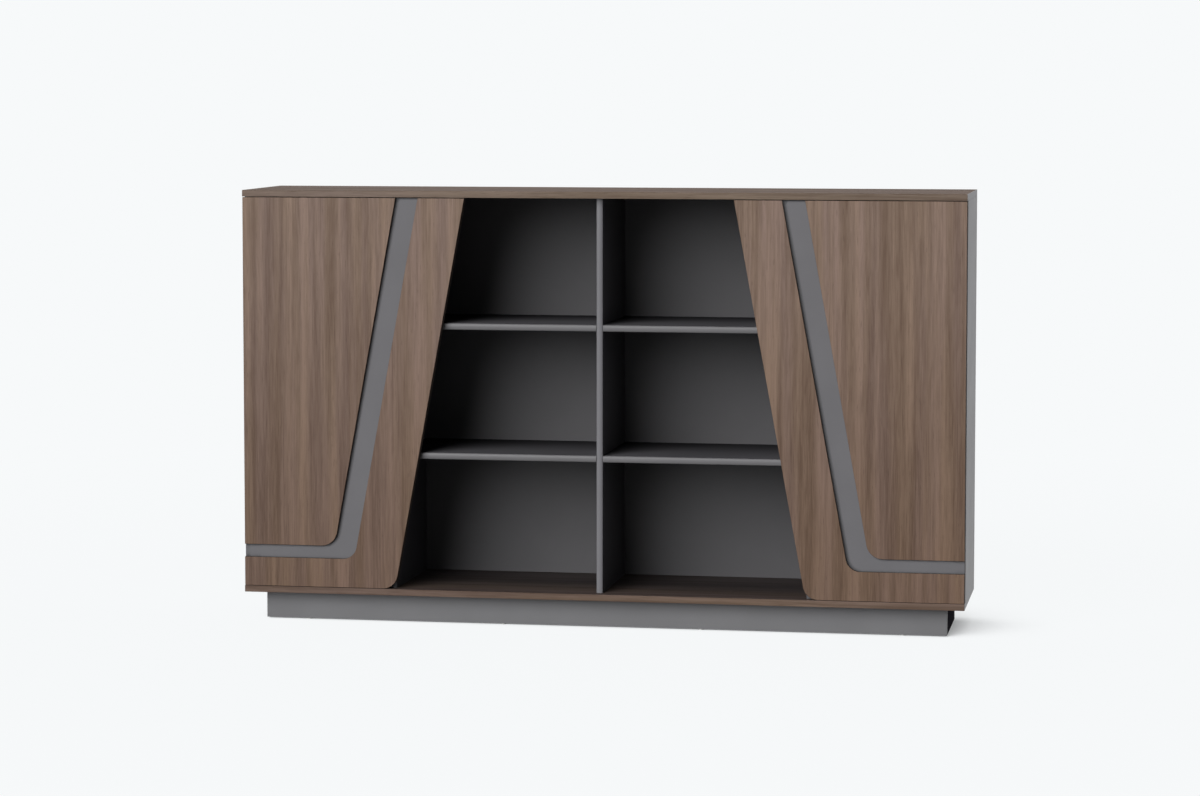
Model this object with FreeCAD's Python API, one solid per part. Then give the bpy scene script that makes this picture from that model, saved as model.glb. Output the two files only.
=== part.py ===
"""Office credenza: two open bays between two hinged cupboards, on a recessed plinth.

Frame: X runs along the width with +X to the right, the front faces -Y, Z is up.
The origin is on the floor, under the middle of the cabinet. All lengths are in mm.
"""
import FreeCAD, Part
import math
import os

from FreeCAD import Vector

# Overall box of the cabinet
overall_width = 2000.0
overall_depth = 400.0
overall_height = 1200.0

# Boards
board = 18.0                 # thickness of every carcass and plinth board
arris = 0.8                  # rounding of the edges that a hand can touch

# Carcass layout
plinth_height = 80.0         # floor to the underside of the bottom panel
upright_setback = 28.0       # uprights and bay shelves behind the front of top and bottom
partition_face = 570.0       # middle of the cabinet to the bay side of each partition
lower_bay_height = 361.0     # clear height under the lower shelf
middle_bay_height = 341.0    # clear height between the two shelves
cupboard_shelf_setback = 25.0  # cupboard shelves behind the front of the uprights
cupboard_shelf_play = 1.0    # cupboard shelf to each wall beside it

# Back panels, each held in grooves on its four sides
back_thickness = 5.0
back_inset = 2.0             # back panels in front of the rear edges
back_groove_depth = 7.0
back_groove_play = 0.3       # panel to each wall and to the end of its groove

# Plinth frame
plinth_setback = 50.0        # plinth behind the carcass on all four sides
glide_height = 3.0
glide_radius = 8.0
glide_rounding = 1.0
glide_nail_radius = 1.0
glide_nail_length = 12.0
glide_end_distance = 120.0   # end of a rail to its first glide
glides_per_rail = 4
bracket_leg = 30.0
bracket_width = 25.0
bracket_thickness = 2.0
bracket_screw_reach = 18.0   # corner of the bracket to its screws
bracket_end_distance = 200.0  # end of a long rail to its first bracket
brackets_per_rail = 4

# Wooden dowels of the carcass and the plinth
dowel_radius = 4.0
dowel_blind_length = 12.0    # length in the face of the crossing board
dowel_end_length = 18.0      # length in the end of the other board
dowel_play = 0.05            # dowel to its hole, all round
hole_rest = 0.5              # hole deeper than the dowel, pin or screw in it
dowel_offset = 32.0          # cam lock to the dowel beside it
plinth_dowel_spacing = 40.0  # the two dowels in the end of a plinth board

# Dowels of the bay shelves
shelf_dowel_radius = 3.0
shelf_dowel_blind_length = 8.0
shelf_dowel_end_length = 17.0
shelf_dowel_edge_distance = 60.0

# Cam locks and their bolts
cam_radius = 7.5
cam_height = 12.4
cam_reach = 24.0             # end of the board to the middle of the cam
cam_edge_distance = 60.0     # front or rear edge of the board to the cam
cam_slot_width = 2.0
cam_slot_length = 10.0
cam_slot_depth = 2.0
bolt_thread_radius = 2.5
bolt_thread_length = 11.0
bolt_shank_radius = 3.4
bolt_neck_radius = 1.8
bolt_head_radius = 3.1
bolt_head_length = 2.4
bolt_neck_length = 5.0
cam_play = 0.3               # cam to its bore, and to the bolt inside it
pilot_play = 0.05            # screw or bolt to its hole, all round

# Shelf supports of the cupboards
pin_radius = 2.5
pin_depth = 8.0              # spigot in the wall
pin_plate = 1.5              # thickness of the support's web and pad
pin_pad_length = 11.0
pin_pad_width = 8.0
pin_web_height = 10.0
pin_edge_distance = 50.0     # edge of the shelf to the row of holes
pin_row_pitch = 32.0
pin_row_steps = 1            # spare holes above and below each support

# Doors
door_side_gap = 1.0          # door edge behind the outer face of the side panel
door_top_gap = 2.0           # door to the top panel
door_bottom_gap = 1.0        # door to the bottom panel
door_base_thickness = 16.0
facing_thickness = 9.0
free_edge_top = 372.0        # middle of the cabinet to the free edge, at the door's top
free_corner_radius = 42.0
slanted_band_width = 130.0   # surround beside the channel, measured level
slanted_channel_width = 63.0  # channel between the two facings, measured level
bottom_band_height = 79.5    # surround below the channel
level_channel_height = 36.0
surround_corner_radius = 40.0
main_corner_radius = 45.0

# Screws that hold the facings, driven from the back of the door
facing_screw_radius = 1.75
facing_screw_head_radius = 3.5
facing_screw_head_height = 2.2
facing_screw_bite = 6.0      # length in the facing
facing_screw_margin = 60.0   # screw to the edge of its facing
main_screw_rows = 4
band_screw_rows = 5
bottom_screws = 3

# Concealed hinges, measured from the outer face of the side and the back of the door
hinge_count = 3
hinge_end_distance = 100.0   # end of the door to its first hinge
hinge_cup_radius = 17.5
hinge_cup_depth = 12.0
hinge_cup_wall = 1.2
hinge_cup_edge_distance = 3.0  # edge of the door to the cup
hinge_rim_overlap = 1.5
hinge_flange_thickness = 1.0
hinge_flange_width = 12.0
hinge_wing_reach = 31.0      # middle of the cup to the end of each wing
hinge_wing_rounding = 4.0    # corners of the cup's and the plate's wings
hinge_screw_offset = 9.5     # middle of the cup to the line of its screws
hinge_screw_spacing = 48.0
hinge_pin_radius = 1.25
hinge_pin_edge_distance = 7.0  # edge of the door to the pin
hinge_pin_depth = 8.0        # back of the door to the pin
hinge_running_play = 0.05    # pin to the eye of the arm
hinge_eye_radius = 2.2
hinge_neck_width = 6.0
hinge_ear_gap = 0.3          # neck to each ear
hinge_ear_thickness = 2.7
hinge_arm_thickness = 2.0
hinge_neck_reach = 12.0      # pin to the bend inside the cup
hinge_bridge_height = 10.0   # side panel to the outside of the arm
hinge_bridge_start = 2.0     # back of the door to the bend behind it
hinge_channel_width = 13.0
hinge_channel_start = 6.0
hinge_channel_end = 55.0
hinge_channel_play = 0.3
hinge_plate_thickness = 2.0
hinge_plate_screw_line = 37.0  # front edge of the side panel to the plate's screws
hinge_plate_screw_spacing = 32.0
hinge_plate_wing_width = 14.0
hinge_plate_length = 34.0
hinge_plate_block_start = 12.0
arm_screw_setting = 15.0     # plate's screw line to each of the arm's screws

# Screws: radius of the thread, radius and height of the head, length
plate_screw = (3.0, 4.5, 1.8, 12.0)
arm_screw = (2.0, 3.5, 1.6, 6.0)
cup_screw = (1.75, 3.6, 1.6, 12.0)
bracket_screw = (1.75, 3.4, 1.6, 13.0)

# Bumpers on the back of each door
bumper_radius = 4.0
bumper_clearance = 0.4       # bumper to the edge that it meets
bumper_end_distance = 60.0   # end of the door to the bumper

# Planes worked out from the sizes above
half_width = overall_width / 2
front = -overall_depth / 2
rear = overall_depth / 2
floor_top = plinth_height + board
ceiling = overall_height - board
upright_front = front + upright_setback
door_back = front + facing_thickness + door_base_thickness
lower_shelf_bottom = floor_top + lower_bay_height
upper_shelf_bottom = lower_shelf_bottom + board + middle_bay_height
side_face = half_width - board
cupboard_face = partition_face + board
back_rear = rear - back_inset
back_front = back_rear - back_thickness
tolerance = 1e-4

X = Vector(1, 0, 0)
Y = Vector(0, 1, 0)
Z = Vector(0, 0, 1)

boards = {}      # node name: the board before it is drilled
drillings = {}   # node name: the tools that are cut out of it
hardware = {}    # node name: its separate solids


def box(x0, x1, y0, y1, z0, z1):
    """Block between the given planes."""
    return Part.makeBox(x1 - x0, y1 - y0, z1 - z0, Vector(x0, y0, z0))


def rod(start, direction, radius, length):
    """Cylinder that grows from start along direction."""
    return Part.makeCylinder(radius, length, start, direction)


def spread(first, last, count):
    """Evenly spaced values from first to last."""
    if count == 1:
        return [(first + last) / 2]
    step = (last - first) / (count - 1)
    return [first + step * index for index in range(count)]


def mirrored(shape):
    """The same shape on the other side of the middle of the cabinet."""
    return shape.mirror(Vector(0, 0, 0), X)


def add_board(name, shape):
    boards[name] = shape
    drillings[name] = []


def drill(name, tool):
    drillings[name].append(tool)


def add_hardware(name, solid):
    hardware.setdefault(name, []).append(solid)


def soften(shape, is_edge):
    """Round the edges whose bounding box passes the given test."""
    chosen = [edge for edge in shape.Edges if is_edge(edge.BoundBox)]
    return shape.makeFillet(arris, chosen)


def on_front(bound):
    """True for a long edge on the front plane of a carcass board."""
    flat = bound.YLength < tolerance and bound.YMin < 0
    return flat and max(bound.XLength, bound.ZLength) > 2 * board


def outline_prism(corners, y0, y1):
    """Prism along Y over corners (x, z, radius); a radius above 0 rounds that corner."""
    starts, ends, edges = [], [], []
    count = len(corners)
    for index, (x, z, radius) in enumerate(corners):
        here = Vector(x, y0, z)
        before = Vector(corners[index - 1][0], y0, corners[index - 1][1])
        after = Vector(corners[(index + 1) % count][0], y0, corners[(index + 1) % count][1])
        to_before = (before - here).normalize()
        to_after = (after - here).normalize()
        half_angle = to_before.getAngle(to_after) / 2
        tangent = radius / math.tan(half_angle)
        starts.append(here + to_before * tangent)
        ends.append(here + to_after * tangent)
        if radius > 0:
            bisector = (to_before + to_after).normalize()
            middle = here + bisector * (radius / math.sin(half_angle) - radius)
            edges.append(Part.Arc(starts[-1], middle, ends[-1]).toShape())
    for index in range(count):
        edges.append(Part.LineSegment(ends[index], starts[(index + 1) % count]).toShape())
    wire = Part.Wire(Part.__sortEdges__(edges))
    return Part.Face(wire).extrude(Vector(0, y1 - y0, 0))


def screw(seat, direction, sizes):
    """Pan-head screw: the head stands on seat, the thread goes along direction."""
    radius, head_radius, head_height, length = sizes
    head = rod(seat - direction * head_height, direction, head_radius, head_height)
    top = [edge for edge in head.Edges
           if abs((edge.CenterOfMass - seat).dot(direction) + head_height) < tolerance]
    head = head.makeFillet(head_height / 2, top)
    drive = rod(seat - direction * head_height, direction, radius / 2, head_height / 2)
    return head.fuse(rod(seat, direction, radius, length)).cut(drive).removeSplitter()


def screw_hole(seat, direction, sizes):
    """Hole for the thread of a screw, a little longer than it."""
    return rod(seat, direction, sizes[0] + pilot_play, sizes[3] + hole_rest)


def dowel(blind_board, end_board, point, direction):
    """Dowel across a joint: direction points into the face of the blind board."""
    radius = dowel_radius + dowel_play
    drill(blind_board, rod(point, direction, radius, dowel_blind_length + hole_rest))
    drill(end_board, rod(point, -direction, radius, dowel_end_length + hole_rest))
    start = point - direction * dowel_end_length
    length = dowel_blind_length + dowel_end_length
    add_hardware("dowels", rod(start, direction, dowel_radius, length))


def make_top_and_bottom():
    """The two full-width panels, each with one groove for the back panels."""
    for name, z0 in (("top_panel", ceiling), ("bottom_panel", plinth_height)):
        panel = box(-half_width, half_width, front, rear, z0, z0 + board)
        add_board(name, panel.makeFillet(arris, panel.Edges))
    groove_end = side_face + back_groove_depth
    for name, z0, z1 in (("top_panel", ceiling, ceiling + back_groove_depth),
                         ("bottom_panel", floor_top - back_groove_depth, floor_top)):
        drill(name, back_groove(-groove_end, groove_end, z0, z1))


def back_groove(x0, x1, z0, z1):
    """Groove for the edge of a back panel."""
    return box(x0, x1, back_front - back_groove_play, back_rear + back_groove_play, z0, z1)


def make_uprights():
    """Side panels, partitions and divider, grooved on the faces that hold a back panel."""
    partition_middle = partition_face + board / 2
    side_middle = side_face + board / 2
    uprights = (
        ("left_side_panel", -side_middle, 1, (1,)),
        ("left_partition", -partition_middle, -1, (-1, 1)),
        ("centre_divider", 0.0, -1, (-1, 1)),
        ("right_partition", partition_middle, 1, (-1, 1)),
        ("right_side_panel", side_middle, -1, (-1,)),
    )
    for name, middle, cam_side, grooved_sides in uprights:
        upright = box(middle - board / 2, middle + board / 2, upright_front, rear,
                      floor_top, ceiling)
        add_board(name, soften(upright, on_front))
        for side in grooved_sides:
            face = middle + side * board / 2
            bottom = face - side * back_groove_depth
            drill(name, back_groove(min(face, bottom), max(face, bottom), floor_top, ceiling))
        fasten_upright(name, middle, cam_side)


def fasten_upright(name, middle, cam_side):
    """Two cam locks and two dowels at each end of an upright."""
    for panel, z, up in (("top_panel", ceiling, 1), ("bottom_panel", floor_top, -1)):
        for y, inward in ((upright_front + cam_edge_distance, 1),
                          (rear - cam_edge_distance, -1)):
            cam_joint(name, panel, Vector(middle, y, z), up, cam_side)
            dowel(panel, name, Vector(middle, y + inward * dowel_offset, z), Z * up)


def cam_joint(name, panel, point, up, cam_side):
    """Cam in the face of an upright, which draws on a bolt in the crossing panel."""
    along = Z * up
    middle = point - along * cam_reach
    face = middle + X * (cam_side * board / 2)
    inward = X * -cam_side
    head_start = cam_reach - bolt_head_length / 2
    neck_start = head_start - bolt_neck_length
    bolt = rod(point, along, bolt_thread_radius, bolt_thread_length)
    bolt = bolt.fuse(rod(point, -along, bolt_shank_radius, neck_start))
    bolt = bolt.fuse(rod(point - along * neck_start, -along, bolt_neck_radius, bolt_neck_length))
    bolt = bolt.fuse(rod(point - along * head_start, -along, bolt_head_radius, bolt_head_length))
    add_hardware("cam_bolts", bolt.removeSplitter())

    cavity = rod(point, -along, bolt_shank_radius + cam_play, cam_reach + bolt_head_radius)
    slot = box(-cam_slot_depth, cam_slot_depth, -cam_slot_length / 2, cam_slot_length / 2,
               -cam_slot_width / 2, cam_slot_width / 2)
    cross = slot.fuse(slot.rotated(Vector(0, 0, 0), X, 90)).translated(face)
    cam = rod(face, inward, cam_radius, cam_height)
    add_hardware("cam_locks", cam.cut(cavity).cut(cross))

    drill(name, rod(face, inward, cam_radius + cam_play, cam_height + cam_play))
    drill(name, rod(point, -along, bolt_shank_radius + cam_play, cam_reach))
    drill(panel, rod(point, along, bolt_thread_radius + pilot_play,
                     bolt_thread_length + hole_rest))


def make_backs():
    """Four back panels, one behind each bay and cupboard."""
    reach = back_groove_depth - back_groove_play
    spans = (
        ("left_cupboard_back", -side_face, -cupboard_face),
        ("left_bay_back", -partition_face, -board / 2),
        ("right_bay_back", board / 2, partition_face),
        ("right_cupboard_back", cupboard_face, side_face),
    )
    for name, x0, x1 in spans:
        add_board(name, box(x0 - reach, x1 + reach, back_front, back_rear,
                            floor_top - reach, ceiling + reach))


def make_bay_shelves():
    """Fixed shelves between the divider and the partitions, on blind dowels."""
    bays = (
        ("left_bay", -partition_face, -board / 2, "left_partition", "centre_divider"),
        ("right_bay", board / 2, partition_face, "centre_divider", "right_partition"),
    )
    levels = (("lower_shelf", lower_shelf_bottom), ("upper_shelf", upper_shelf_bottom))
    shelf_rear = back_front - back_groove_play
    dowel_rows = (upright_front + shelf_dowel_edge_distance,
                  shelf_rear - shelf_dowel_edge_distance)
    for bay, x0, x1, left_board, right_board in bays:
        for level, z0 in levels:
            name = bay + "_" + level
            shelf = box(x0, x1, upright_front, shelf_rear, z0, z0 + board)
            add_board(name, soften(shelf, on_front))
            for y in dowel_rows:
                shelf_dowel(name, left_board, Vector(x0, y, z0 + board / 2), -X)
                shelf_dowel(name, right_board, Vector(x1, y, z0 + board / 2), X)


def shelf_dowel(shelf, upright, point, direction):
    """Slim dowel: direction points from the end of the shelf into the upright."""
    radius = shelf_dowel_radius + dowel_play
    drill(upright, rod(point, direction, radius, shelf_dowel_blind_length + hole_rest))
    drill(shelf, rod(point, -direction, radius, shelf_dowel_end_length + hole_rest))
    start = point - direction * shelf_dowel_end_length
    length = shelf_dowel_blind_length + shelf_dowel_end_length
    add_hardware("shelf_dowels", rod(start, direction, shelf_dowel_radius, length))


def make_cupboard_shelves():
    """Loose shelves on supports, with spare holes above and below each support."""
    levels = (("lower_shelf", lower_shelf_bottom), ("upper_shelf", upper_shelf_bottom))
    shelf_front = upright_front + cupboard_shelf_setback
    shelf_rear = back_front - back_groove_play
    rows = (shelf_front + pin_edge_distance, shelf_rear - pin_edge_distance)
    for level, z0 in levels:
        shelf = box(cupboard_face + cupboard_shelf_play, side_face - cupboard_shelf_play,
                    shelf_front, shelf_rear, z0, z0 + board)
        shelf = soften(shelf, on_front)
        add_board("right_cupboard_" + level, shelf)
        add_board("left_cupboard_" + level, mirrored(shelf))
        for y in rows:
            for face, direction, wall in ((cupboard_face, 1, "partition"),
                                          (side_face, -1, "side_panel")):
                place_pin(face, direction, wall, y, z0)


def place_pin(face, direction, wall, y, shelf_bottom):
    """Shelf support: spigot in the wall, web on its face and pad under the shelf."""
    hole_z = shelf_bottom - pin_web_height / 2
    far = face + direction * pin_pad_length
    web = box(min(face, face + direction * pin_plate), max(face, face + direction * pin_plate),
              y - pin_pad_width / 2, y + pin_pad_width / 2,
              shelf_bottom - pin_web_height, shelf_bottom)
    pad = box(min(face, far), max(face, far), y - pin_pad_width / 2, y + pin_pad_width / 2,
              shelf_bottom - pin_plate, shelf_bottom)
    into_wall = X * -direction
    spigot = rod(Vector(face, y, hole_z), into_wall, pin_radius, pin_depth)
    support = web.fuse(pad).fuse(spigot).removeSplitter()
    add_hardware("right_shelf_supports", support)
    add_hardware("left_shelf_supports", mirrored(support))
    for step in range(-pin_row_steps, pin_row_steps + 1):
        hole = rod(Vector(face, y, hole_z + step * pin_row_pitch), into_wall,
                   pin_radius + pilot_play, pin_depth + hole_rest)
        drill("right_" + wall, hole)
        drill("left_" + wall, mirrored(hole))


def make_plinth():
    """Frame of two long rails and five cross boards, doweled and standing on glides."""
    outer = half_width - plinth_setback
    rail_front = front + plinth_setback
    rail_rear = rear - plinth_setback
    long_rails = (("plinth_front_rail", rail_front, 1), ("plinth_back_rail", rail_rear, -1))
    for name, y, inward in long_rails:
        y_inner = y + inward * board
        rail = box(-outer, outer, min(y, y_inner), max(y, y_inner), glide_height, plinth_height)
        add_board(name, soften(rail, lambda bound: bound.ZLength > board))
        for x in spread(-outer + glide_end_distance, outer - glide_end_distance,
                        glides_per_rail):
            place_glide(name, x, y + inward * board / 2)
        for x in spread(-outer + bracket_end_distance, outer - bracket_end_distance,
                        brackets_per_rail):
            place_bracket(name, x, y_inner, inward)
    partition_middle = partition_face + board / 2
    cross_boards = (
        ("plinth_left_rail", -outer + board / 2),
        ("plinth_left_brace", -partition_middle),
        ("plinth_centre_brace", 0.0),
        ("plinth_right_brace", partition_middle),
        ("plinth_right_rail", outer - board / 2),
    )
    middle_z = (glide_height + plinth_height) / 2
    for name, x in cross_boards:
        add_board(name, box(x - board / 2, x + board / 2, rail_front + board,
                            rail_rear - board, glide_height, plinth_height))
        for z in (middle_z - plinth_dowel_spacing / 2, middle_z + plinth_dowel_spacing / 2):
            dowel("plinth_front_rail", name, Vector(x, rail_front + board, z), -Y)
            dowel("plinth_back_rail", name, Vector(x, rail_rear - board, z), Y)


def place_glide(rail, x, y):
    """Round glide nailed into the underside of a rail."""
    seat = Vector(x, y, 0)
    pad = rod(seat, Z, glide_radius, glide_height)
    pad = pad.makeFillet(glide_rounding, [edge for edge in pad.Edges
                                          if edge.BoundBox.ZMax < tolerance])
    nail = rod(seat + Z * glide_height, Z, glide_nail_radius, glide_nail_length)
    add_hardware("floor_glides", pad.fuse(nail).removeSplitter())
    drill(rail, rod(seat + Z * glide_height, Z, glide_nail_radius + pilot_play,
                    glide_nail_length + hole_rest))


def place_bracket(rail, x, y, inward):
    """Steel angle that joins a rail to the bottom panel, with one screw in each leg."""
    x0, x1 = x - bracket_width / 2, x + bracket_width / 2
    upright_leg = box(x0, x1, min(y, y + inward * bracket_thickness),
                      max(y, y + inward * bracket_thickness),
                      plinth_height - bracket_leg, plinth_height)
    level_leg = box(x0, x1, min(y, y + inward * bracket_leg), max(y, y + inward * bracket_leg),
                    plinth_height - bracket_thickness, plinth_height)
    angle = upright_leg.fuse(level_leg).removeSplitter()
    rail_seat = Vector(x, y + inward * bracket_thickness, plinth_height - bracket_screw_reach)
    panel_seat = Vector(x, y + inward * bracket_screw_reach, plinth_height - bracket_thickness)
    for seat, direction, target in ((rail_seat, Y * -inward, rail),
                                    (panel_seat, Z, "bottom_panel")):
        hole = screw_hole(seat, direction, bracket_screw)
        angle = angle.cut(hole)
        drill(target, hole)
        add_hardware("plinth_bracket_screws", screw(seat, direction, bracket_screw))
    add_hardware("plinth_brackets", angle)


door_outer = half_width - door_side_gap
door_bottom = floor_top + door_bottom_gap
door_top = ceiling - door_top_gap
facing_back = front + facing_thickness
band_top = door_bottom + bottom_band_height
main_bottom = band_top + level_channel_height
# The free edge runs down to the bay side of the partition
door_lean = (partition_face - free_edge_top) / (door_top - door_bottom)


def free_edge(z):
    """Distance of the door's slanted free edge from the middle of the cabinet."""
    return free_edge_top + door_lean * (door_top - z)


def make_door_boards():
    """Right door's base and its two facings, and the same mirrored for the left door."""
    base = outline_prism((
        (free_edge(door_top), door_top, 0),
        (door_outer, door_top, 0),
        (door_outer, door_bottom, 0),
        (free_edge(door_bottom), door_bottom, free_corner_radius),
    ), facing_back, door_back)

    def inner_edge(z):
        return free_edge(z) + slanted_band_width

    def main_edge(z):
        return inner_edge(z) + slanted_channel_width

    surround = outline_prism((
        (free_edge(door_top), door_top, 0),
        (inner_edge(door_top), door_top, 0),
        (inner_edge(band_top), band_top, surround_corner_radius),
        (door_outer, band_top, 0),
        (door_outer, door_bottom, 0),
        (free_edge(door_bottom), door_bottom, free_corner_radius),
    ), front, facing_back)
    main = outline_prism((
        (main_edge(door_top), door_top, 0),
        (door_outer, door_top, 0),
        (door_outer, main_bottom, 0),
        (main_edge(main_bottom), main_bottom, main_corner_radius),
    ), front, facing_back)

    def on_facing_front(bound):
        return bound.YMax < front + tolerance

    facings = (("surround_panel", soften(surround, on_facing_front)),
               ("main_panel", soften(main, on_facing_front)))
    for name, shape in (("door_base", base),) + facings:
        add_board("right_" + name, shape)
        add_board("left_" + name, mirrored(shape))
    fasten_facings(inner_edge, main_edge)


def fasten_facings(inner_edge, main_edge):
    """Countersunk screws through the base into the facings."""
    margin = facing_screw_margin
    for z in spread(main_bottom + margin, door_top - margin, main_screw_rows):
        for x in (main_edge(z) + margin, door_outer - margin):
            place_facing_screw("main_panel", x, z)
    for z in spread(main_bottom, door_top - margin, band_screw_rows):
        place_facing_screw("surround_panel", (free_edge(z) + inner_edge(z)) / 2, z)
    band_middle = (door_bottom + band_top) / 2
    for x in spread(inner_edge(band_middle), door_outer - margin, bottom_screws):
        place_facing_screw("surround_panel", x, band_middle)


def place_facing_screw(facing, x, z):
    """One countersunk screw, its head flush with the back of the door."""
    start = Vector(x, door_back, z)
    length = door_base_thickness + facing_screw_bite
    head = Part.makeCone(facing_screw_head_radius, facing_screw_radius,
                         facing_screw_head_height, start, -Y)
    shank = rod(start, -Y, facing_screw_radius, length)
    drive = rod(start, -Y, facing_screw_radius / 2, facing_screw_head_height / 2)
    solid = head.fuse(shank).cut(drive).removeSplitter()
    sink = Part.makeCone(facing_screw_head_radius + pilot_play, facing_screw_radius + pilot_play,
                         facing_screw_head_height + pilot_play, start, -Y)
    bore = rod(start, -Y, facing_screw_radius + pilot_play, length + hole_rest)
    hole = sink.fuse(bore).removeSplitter()
    for side, change in (("right_", lambda shape: shape), ("left_", mirrored)):
        add_hardware(side + "facing_screws", change(solid))
        drill(side + "door_base", change(hole))
        drill(side + facing, change(hole))


# Hinge geometry in X and Y: the pin lies inside the cup, in the thickness of the door
pin_x = door_outer - hinge_pin_edge_distance
pin_y = door_back - hinge_pin_depth
cup_x = door_outer - hinge_cup_edge_distance - hinge_cup_radius
bridge_x = side_face - hinge_bridge_height + hinge_arm_thickness / 2
plate_line = upright_front + hinge_plate_screw_line
plate_top = side_face - hinge_plate_thickness


def make_hinges():
    """Three concealed hinges on each door."""
    heights = spread(door_bottom + hinge_end_distance, door_top - hinge_end_distance,
                     hinge_count)
    for z in heights:
        for name, solid in hinge_parts(z):
            add_hardware("right_" + name, solid)
            add_hardware("left_" + name, mirrored(solid))
        bore = rod(Vector(cup_x, door_back, z), -Y, hinge_cup_radius + pilot_play,
                   hinge_cup_depth + pilot_play)
        drill("right_door_base", bore)
        drill("left_door_base", mirrored(bore))
        for offset in (-hinge_screw_spacing / 2, hinge_screw_spacing / 2):
            hole = screw_hole(cup_screw_seat(z + offset), -Y, cup_screw)
            drill("right_door_base", hole)
            drill("left_door_base", mirrored(hole))
        for offset in (-hinge_plate_screw_spacing / 2, hinge_plate_screw_spacing / 2):
            hole = screw_hole(Vector(plate_top, plate_line, z + offset), X, plate_screw)
            drill("right_side_panel", hole)
            drill("left_side_panel", mirrored(hole))


def cup_screw_seat(z):
    """Point where the head of a cup screw stands on the hinge's wing."""
    return Vector(cup_x - hinge_screw_offset, door_back + hinge_flange_thickness, z)


def hinge_parts(z):
    """All pieces of one right-hand hinge at height z, as (name, solid)."""
    parts = [("hinge_cups", hinge_cup(z)), ("hinge_pins", hinge_pin(z)),
             ("hinge_arms", hinge_arm(z)), ("hinge_plates", hinge_plate(z))]
    for offset in (-hinge_screw_spacing / 2, hinge_screw_spacing / 2):
        parts.append(("cup_screws", screw(cup_screw_seat(z + offset), -Y, cup_screw)))
    for offset in (-hinge_plate_screw_spacing / 2, hinge_plate_screw_spacing / 2):
        seat = Vector(plate_top, plate_line, z + offset)
        parts.append(("hinge_mount_screws", screw(seat, X, plate_screw)))
    for seat in arm_screw_seats(z):
        parts.append(("hinge_mount_screws", screw(seat, X, arm_screw)))
    return parts


def hinge_cup(z):
    """Cup with its rim, the two screw wings, and the ears that hold the pin."""
    centre = Vector(cup_x, door_back, z)
    inner_radius = hinge_cup_radius - hinge_cup_wall
    inner_depth = hinge_cup_depth - hinge_cup_wall
    cup = rod(centre, -Y, hinge_cup_radius, hinge_cup_depth)
    cup = cup.fuse(rod(centre, Y, hinge_cup_radius + hinge_rim_overlap, hinge_flange_thickness))
    wing_x = cup_x - hinge_screw_offset
    wing = box(wing_x - hinge_flange_width / 2, wing_x + hinge_flange_width / 2,
               door_back, door_back + hinge_flange_thickness,
               z - hinge_wing_reach, z + hinge_wing_reach)
    corners = [edge for edge in wing.Edges if edge.BoundBox.YLength > tolerance]
    cup = cup.fuse(wing.makeFillet(hinge_wing_rounding, corners))
    hollow = rod(centre + Y * hinge_flange_thickness, -Y, inner_radius,
                 inner_depth + hinge_flange_thickness)
    cup = cup.cut(hollow)
    ear_floor = door_back - inner_depth
    for side in (-1, 1):
        near = z + side * (hinge_neck_width / 2 + hinge_ear_gap)
        far = near + side * hinge_ear_thickness
        ear = box(pin_x - hinge_eye_radius, door_outer, ear_floor, pin_y + hinge_eye_radius,
                  min(near, far), max(near, far))
        cup = cup.fuse(ear.common(rod(centre, -Y, hinge_cup_radius, hinge_cup_depth)))
    bore_reach = hinge_neck_width / 2 + hinge_ear_gap + hinge_ear_thickness
    cup = cup.cut(rod(Vector(pin_x, pin_y, z - bore_reach), Z, hinge_pin_radius,
                      2 * bore_reach))
    for offset in (-hinge_screw_spacing / 2, hinge_screw_spacing / 2):
        cup = cup.cut(screw_hole(cup_screw_seat(z + offset), -Y, cup_screw))
    return cup.removeSplitter()


def hinge_pin(z):
    """Pin between the two ears."""
    reach = hinge_neck_width / 2 + hinge_ear_gap + hinge_ear_thickness
    return rod(Vector(pin_x, pin_y, z - reach), Z, hinge_pin_radius, 2 * reach)


def strap(start, end, z, width):
    """Flat strip with round ends from start to end, seen along Z."""
    run = end - start
    across = Z.cross(run).normalize() * (hinge_arm_thickness / 2)
    low = Vector(0, 0, z - width / 2)
    corners = [start + across, end + across, end - across, start - across, start + across]
    flat = Part.Face(Part.makePolygon([corner + low for corner in corners]))
    solid = flat.extrude(Z * width)
    for point in (start, end):
        solid = solid.fuse(rod(point + low, Z, hinge_arm_thickness / 2, width))
    return solid


def hinge_arm(z):
    """Arm: eye on the pin, neck that dips through the cup, channel over the plate."""
    pin = Vector(pin_x, pin_y, 0)
    bend = Vector(pin_x - hinge_neck_reach, pin_y, 0)
    bridge = Vector(bridge_x, door_back + hinge_bridge_start, 0)
    tail = Vector(bridge_x, door_back + hinge_channel_end - hinge_arm_thickness / 2, 0)
    arm = strap(pin, bend, z, hinge_neck_width)
    arm = arm.fuse(strap(bend, bridge, z, hinge_neck_width))
    arm = arm.fuse(strap(bridge, tail, z, hinge_neck_width))
    low = z - hinge_neck_width / 2
    arm = arm.fuse(rod(pin + Z * low, Z, hinge_eye_radius, hinge_neck_width))
    channel = box(bridge_x - hinge_arm_thickness / 2, plate_top - hinge_channel_play,
                  door_back + hinge_channel_start, door_back + hinge_channel_end,
                  z - hinge_channel_width / 2, z + hinge_channel_width / 2)
    inner = hinge_channel_width / 2 - hinge_arm_thickness
    hollow = box(bridge_x + hinge_arm_thickness / 2, side_face,
                 door_back, door_back + hinge_channel_end + hinge_arm_thickness,
                 z - inner, z + inner)
    arm = arm.fuse(channel.cut(hollow))
    arm = arm.cut(rod(pin + Z * low, Z, hinge_pin_radius + hinge_running_play,
                      hinge_neck_width))
    for seat in arm_screw_seats(z):
        arm = arm.cut(screw_hole(seat, X, arm_screw))
    return arm.removeSplitter()


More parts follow.
